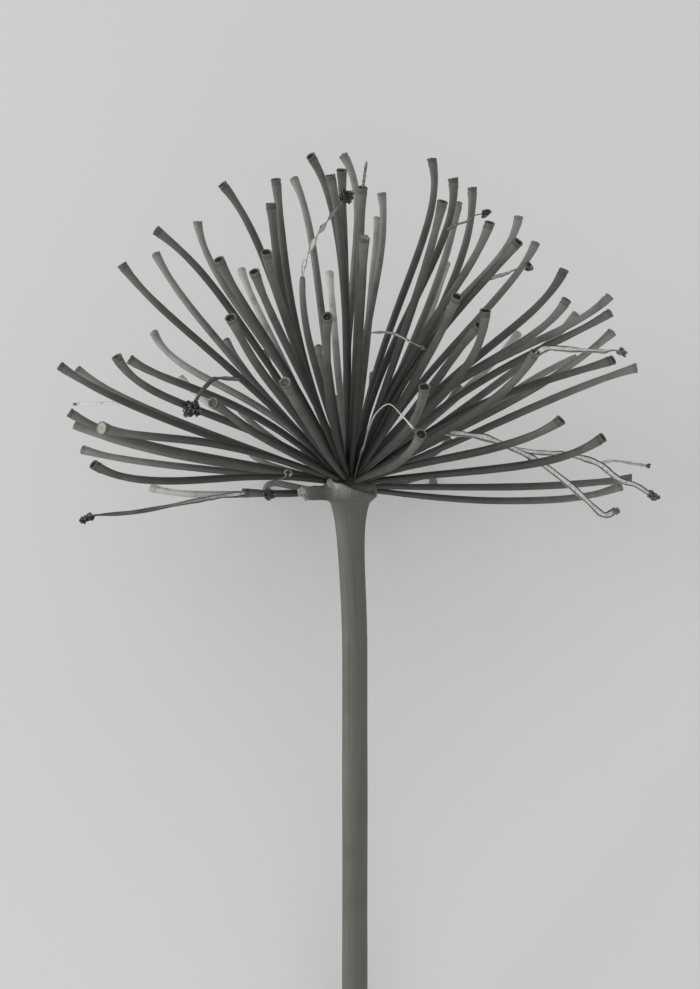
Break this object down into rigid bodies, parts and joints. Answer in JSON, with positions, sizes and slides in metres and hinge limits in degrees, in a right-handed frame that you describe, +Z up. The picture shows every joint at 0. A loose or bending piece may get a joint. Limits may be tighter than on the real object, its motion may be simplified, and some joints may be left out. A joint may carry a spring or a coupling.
{
  "type": "dried agapanthus flower head",
  "caption": "Dried umbel of bare flower stalks spreading in a dome from the top of a cut stem, lying down on its side.",
  "frame": {"origin": "on the surface the head lies on, under the middle of its box", "axes": "+Z up from the surface, +Y from the cut end of the stem towards the flower, +X across"},
  "size_m": [0.1654, 0.2603, 0.157],
  "materials": {
    "dry_scape": "matte",
    "dry_stalk": "matte",
    "papery_sheath": "matte"
  },
  "bodies": {
    "root": {"scape": "dry_scape", "umbel": "dry_stalk", "spathe_remnant": "papery_sheath"}
  },
  "joints": []
}
